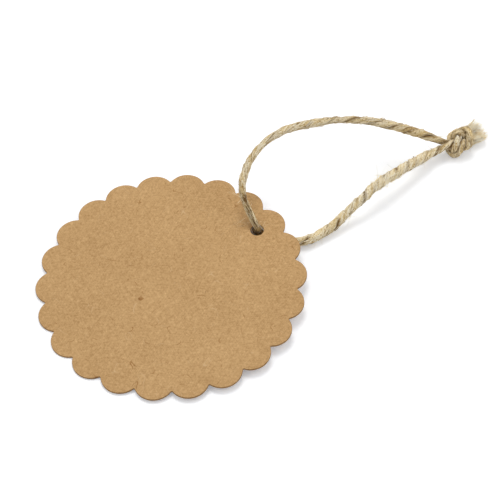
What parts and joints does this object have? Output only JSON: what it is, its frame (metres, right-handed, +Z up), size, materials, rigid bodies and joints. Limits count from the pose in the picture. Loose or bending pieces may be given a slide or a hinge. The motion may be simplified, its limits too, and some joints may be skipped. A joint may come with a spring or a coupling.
{
  "type": "gift tag",
  "caption": "Round kraft card gift tag with a scalloped edge, on a knotted loop of jute twine that runs through its punched hole.",
  "frame": {"origin": "on the table under the middle of the card", "axes": "+Z up from the table, +Y from the middle of the card towards its punched hole and the knot"},
  "size_m": [0.0594, 0.1157, 0.0148],
  "materials": {
    "kraft_card": "matte, uncoated",
    "jute_twine": "fibrous"
  },
  "bodies": {
    "twine": {"twine_upper_leg": "jute_twine", "twine_lower_leg": "jute_twine", "knot_upper_strand": "jute_twine", "knot_lower_strand": "jute_twine", "frayed_end_upper": "jute_twine", "frayed_end_lower": "jute_twine"},
    "card": {"tag_card": "kraft_card"}
  },
  "joints": [
    {"name": "tag_swivel", "type": "hinge", "parent": "twine", "child": "card", "pos_m": [0, 0.02317, 0.00301], "axis": [0, -0.0523, 0.9986], "range_deg": [-105, 60]}
  ]
}
